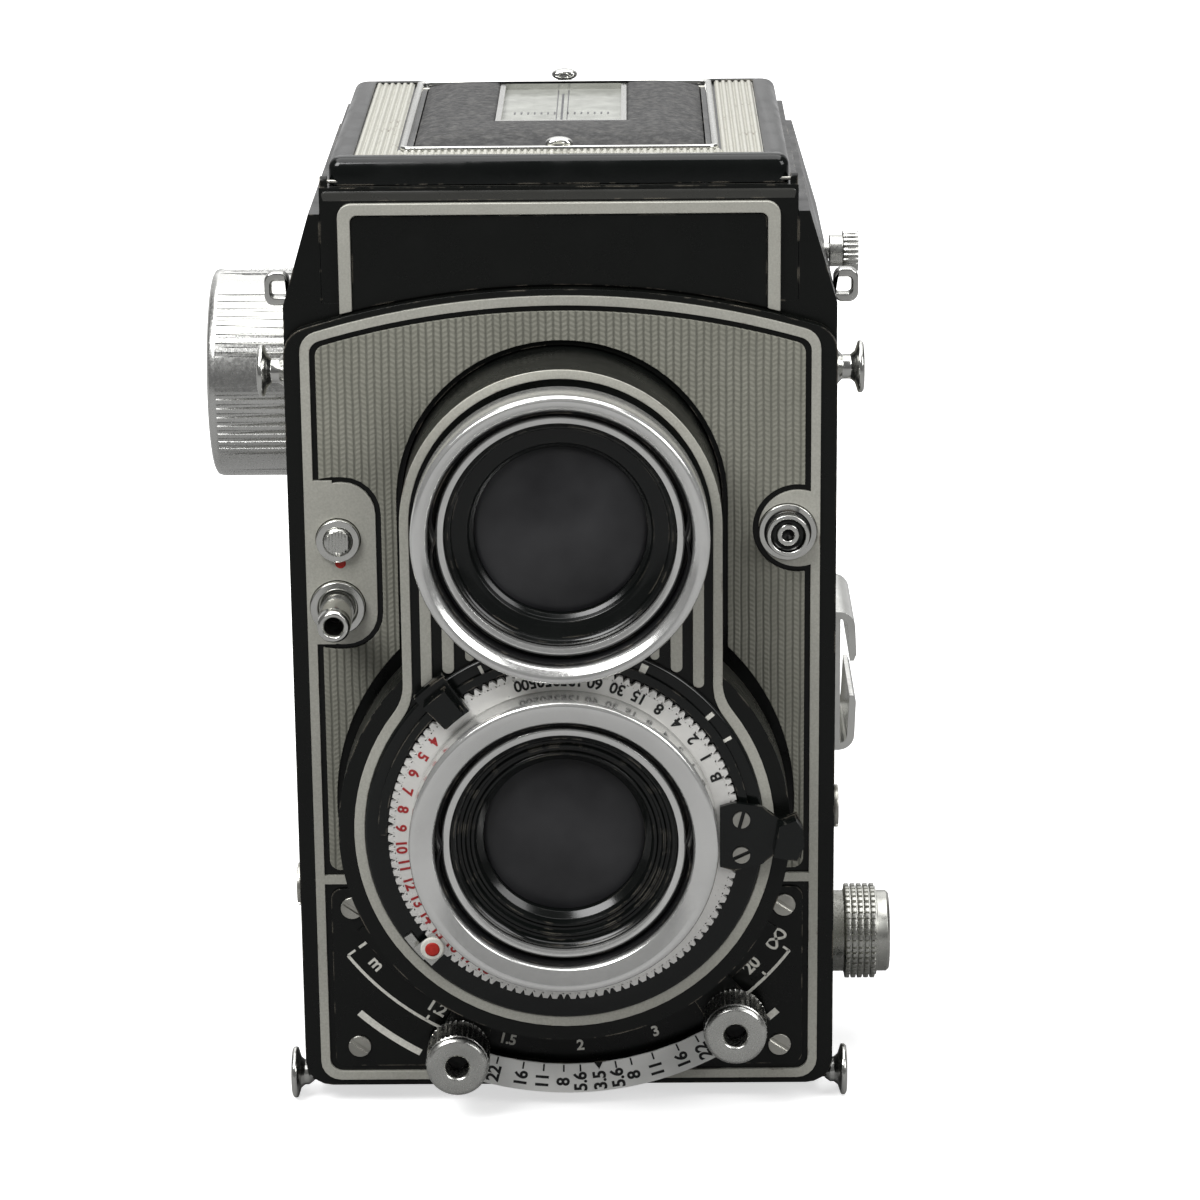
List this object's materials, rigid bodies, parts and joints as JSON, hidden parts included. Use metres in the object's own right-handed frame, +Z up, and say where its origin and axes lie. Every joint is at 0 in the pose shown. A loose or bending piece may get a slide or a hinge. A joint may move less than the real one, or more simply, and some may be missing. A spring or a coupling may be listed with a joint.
{
  "type": "twin lens reflex camera",
  "caption": "Medium-format twin lens reflex camera with folding finder hood, geared lens board, focus ring, shutter controls, film transport and hinged back.",
  "frame": {"origin": "mouth of the tripod bush, on the plane that the feet rest on, under the middle of the body", "axes": "+Z up, the lenses face -Y, +X is to the right as the front is looked at"},
  "size_m": [0.1053, 0.0979, 0.1459],
  "materials": {
    "black_enamel": "satin black enamel, worn through at edges",
    "gloss_black": "gloss black enamel",
    "matt_black": "matt black",
    "grey_trim": "warm grey satin",
    "covering": "woven grey-green grain",
    "leatherette": "fine black grain",
    "alloy": "turned satin",
    "chrome": "satin chrome, slightly tarnished",
    "steel_screws": "bright steel",
    "blade_steel": "dark blued steel",
    "lens_glass": "coated, dusty",
    "screen_glass": "ground glass",
    "mirror_glass": "front-silvered",
    "spool_black": "matt"
  },
  "bodies": {
    "camera_body": {"body_casting": "black_enamel", "front_plate": "black_enamel", "front_trim": "grey_trim", "front_covering": "covering", "distance_plate": "black_enamel", "case_screws": "steel_screws", "side_coverings": "covering", "helicoid_tube": "alloy", "button_bushes": "chrome", "sync_socket": "chrome", "strap_loops": "chrome", "strap_studs": "chrome", "accessory_shoe": "chrome", "hood_frame": "black_enamel", "name_plate": "black_enamel", "name_plate_trim": "grey_trim", "focusing_screen": "screen_glass", "reflex_mirror": "mirror_glass", "mirror_cradle": "matt_black", "film_gate": "matt_black", "spool_pins": "alloy", "hinge_pins": "steel_screws"},
    "upper_roller": {"upper_roller": "chrome"},
    "lower_roller": {"lower_roller": "chrome"},
    "lens_board": {"lens_board": "black_enamel", "board_trim": "grey_trim", "viewing_barrel": "matt_black", "viewing_bezel": "chrome", "viewing_glass": "lens_glass", "shutter_housing": "matt_black", "taking_barrel": "matt_black", "taking_bezel": "chrome", "taking_glass": "lens_glass", "aperture_blades": "blade_steel", "shutter_blades": "blade_steel"},
    "focus_ring": {"focus_ring": "black_enamel", "focus_knobs": "alloy"},
    "speed_ring": {"speed_ring": "alloy"},
    "exposure_lever": {"exposure_lever": "matt_black"},
    "self_timer_lever": {"self_timer_lever": "alloy"},
    "release_button": {"release_button": "chrome"},
    "lock_button": {"lock_button": "chrome"},
    "lid": {"lid": "gloss_black", "lid_panel": "grey_trim", "lid_bezel": "chrome"},
    "flap": {"flap": "leatherette", "flap_window": "lens_glass"},
    "left_leaf": {"side_leaf_left": "matt_black"},
    "right_leaf": {"side_leaf_right": "matt_black"},
    "rear_leaf": {"rear_leaf": "matt_black"},
    "magnifier": {"magnifier_frame": "matt_black", "magnifier_lens": "lens_glass"},
    "advance": {"advance_knob": "alloy"},
    "take_up_spool": {"take_up_spool": "spool_black"},
    "supply_spool": {"supply_spool": "spool_black"},
    "supply_knob": {"supply_knob": "alloy"},
    "side_selector": {"side_selector_knob": "alloy"},
    "back_door": {"back_door": "black_enamel", "tripod_bush": "chrome"},
    "latch_dial": {"latch_dial": "alloy"}
  },
  "joints": [
    {"name": "focus_turn", "type": "hinge", "parent": "camera_body", "child": "focus_ring", "pos_m": [0, -0.042, 0.0489], "axis": [0, -1, 0], "range_deg": [-59.6, 47.9]},
    {"name": "board_slide", "type": "slide", "parent": "camera_body", "child": "lens_board", "axis": [0, -1, 0], "range_m": [-0.00312, 0.00388]},
    {"name": "speed_turn", "type": "hinge", "parent": "lens_board", "child": "speed_ring", "pos_m": [0, -0.0525, 0.0489], "axis": [0, -1, 0], "range_deg": [-38, 43]},
    {"name": "exposure_turn", "type": "hinge", "parent": "lens_board", "child": "exposure_lever", "pos_m": [0, -0.052, 0.0489], "axis": [0, -1, 0], "range_deg": [0, 70]},
    {"name": "self_timer_turn", "type": "hinge", "parent": "lens_board", "child": "self_timer_lever", "pos_m": [0, -0.052, 0.0489], "axis": [0, -1, 0], "range_deg": [0, 18]},
    {"name": "release_press", "type": "slide", "parent": "camera_body", "child": "release_button", "axis": [0, 1, 0], "range_m": [0, 0.004], "stiffness_N_per_m": 300, "springref_m": -0.001},
    {"name": "lock_press", "type": "slide", "parent": "camera_body", "child": "lock_button", "axis": [0, 1, 0], "range_m": [0, 0.0015], "stiffness_N_per_m": 300, "springref_m": -0.001},
    {"name": "lid_hinge", "type": "hinge", "parent": "camera_body", "child": "lid", "pos_m": [0, -0.0342, 0.1415], "axis": [1, 0, 0], "range_deg": [0, 90]},
    {"name": "flap_hinge", "type": "hinge", "parent": "lid", "child": "flap", "pos_m": [0, 0.0242, 0.1442], "axis": [-1, 0, 0], "range_deg": [0, 100]},
    {"name": "magnifier_hinge", "type": "hinge", "parent": "lid", "child": "magnifier", "pos_m": [0, 0.0018, 0.1423], "axis": [1, 0, 0], "range_deg": [-90, 0]},
    {"name": "left_leaf_hinge", "type": "hinge", "parent": "camera_body", "child": "left_leaf", "pos_m": [-0.031, 0, 0.1398], "axis": [0, -1, 0], "range_deg": [0, 90]},
    {"name": "right_leaf_hinge", "type": "hinge", "parent": "camera_body", "child": "right_leaf", "pos_m": [0.031, 0, 0.1398], "axis": [0, 1, 0], "range_deg": [0, 90]},
    {"name": "rear_leaf_hinge", "type": "hinge", "parent": "camera_body", "child": "rear_leaf", "pos_m": [0, 0.029, 0.1386], "axis": [-1, 0, 0], "range_deg": [0, 90]},
    {"name": "advance_turn", "type": "hinge", "parent": "camera_body", "child": "advance", "pos_m": [-0.045, 0.0225, 0.0996], "axis": [-1, 0, 0], "continuous": true},
    {"name": "take_up_turn", "type": "hinge", "parent": "camera_body", "child": "take_up_spool", "pos_m": [0, 0.0225, 0.0996], "axis": [-1, 0, 0], "continuous": true},
    {"name": "supply_turn", "type": "hinge", "parent": "camera_body", "child": "supply_spool", "pos_m": [0, -0.012, 0.0177], "axis": [-1, 0, 0], "continuous": true},
    {"name": "supply_knob_pull", "type": "slide", "parent": "camera_body", "child": "supply_knob", "axis": [1, 0, 0], "range_m": [0, 0.006]},
    {"name": "side_selector_turn", "type": "hinge", "parent": "camera_body", "child": "side_selector", "pos_m": [0.042, -0.005, 0.1245], "axis": [1, 0, 0], "range_deg": [0, 90]},
    {"name": "upper_roller_turn", "type": "hinge", "parent": "camera_body", "child": "upper_roller", "pos_m": [0, 0.0278, 0.0824], "axis": [1, 0, 0], "continuous": true},
    {"name": "lower_roller_turn", "type": "hinge", "parent": "camera_body", "child": "lower_roller", "pos_m": [0, 0.0278, 0.0142], "axis": [1, 0, 0], "continuous": true},
    {"name": "back_hinge", "type": "hinge", "parent": "camera_body", "child": "back_door", "pos_m": [0, 0.0364, 0.118], "axis": [1, 0, 0], "range_deg": [0, 100]},
    {"name": "latch_turn", "type": "hinge", "parent": "back_door", "child": "latch_dial", "pos_m": [0, 0, 0.0015], "axis": [0, 0, -1], "range_deg": [0, 90]}
  ],
  "couplings": [
    {"joint": "board_slide", "follows": "focus_turn", "m_per_rad": -0.00371},
    {"joint": "left_leaf_hinge", "follows": "lid_hinge", "ratio": 1},
    {"joint": "right_leaf_hinge", "follows": "lid_hinge", "ratio": 1},
    {"joint": "rear_leaf_hinge", "follows": "lid_hinge", "ratio": 1},
    {"joint": "magnifier_hinge", "follows": "lid_hinge", "ratio": -1},
    {"joint": "take_up_turn", "follows": "advance_turn", "ratio": 1}
  ]
}
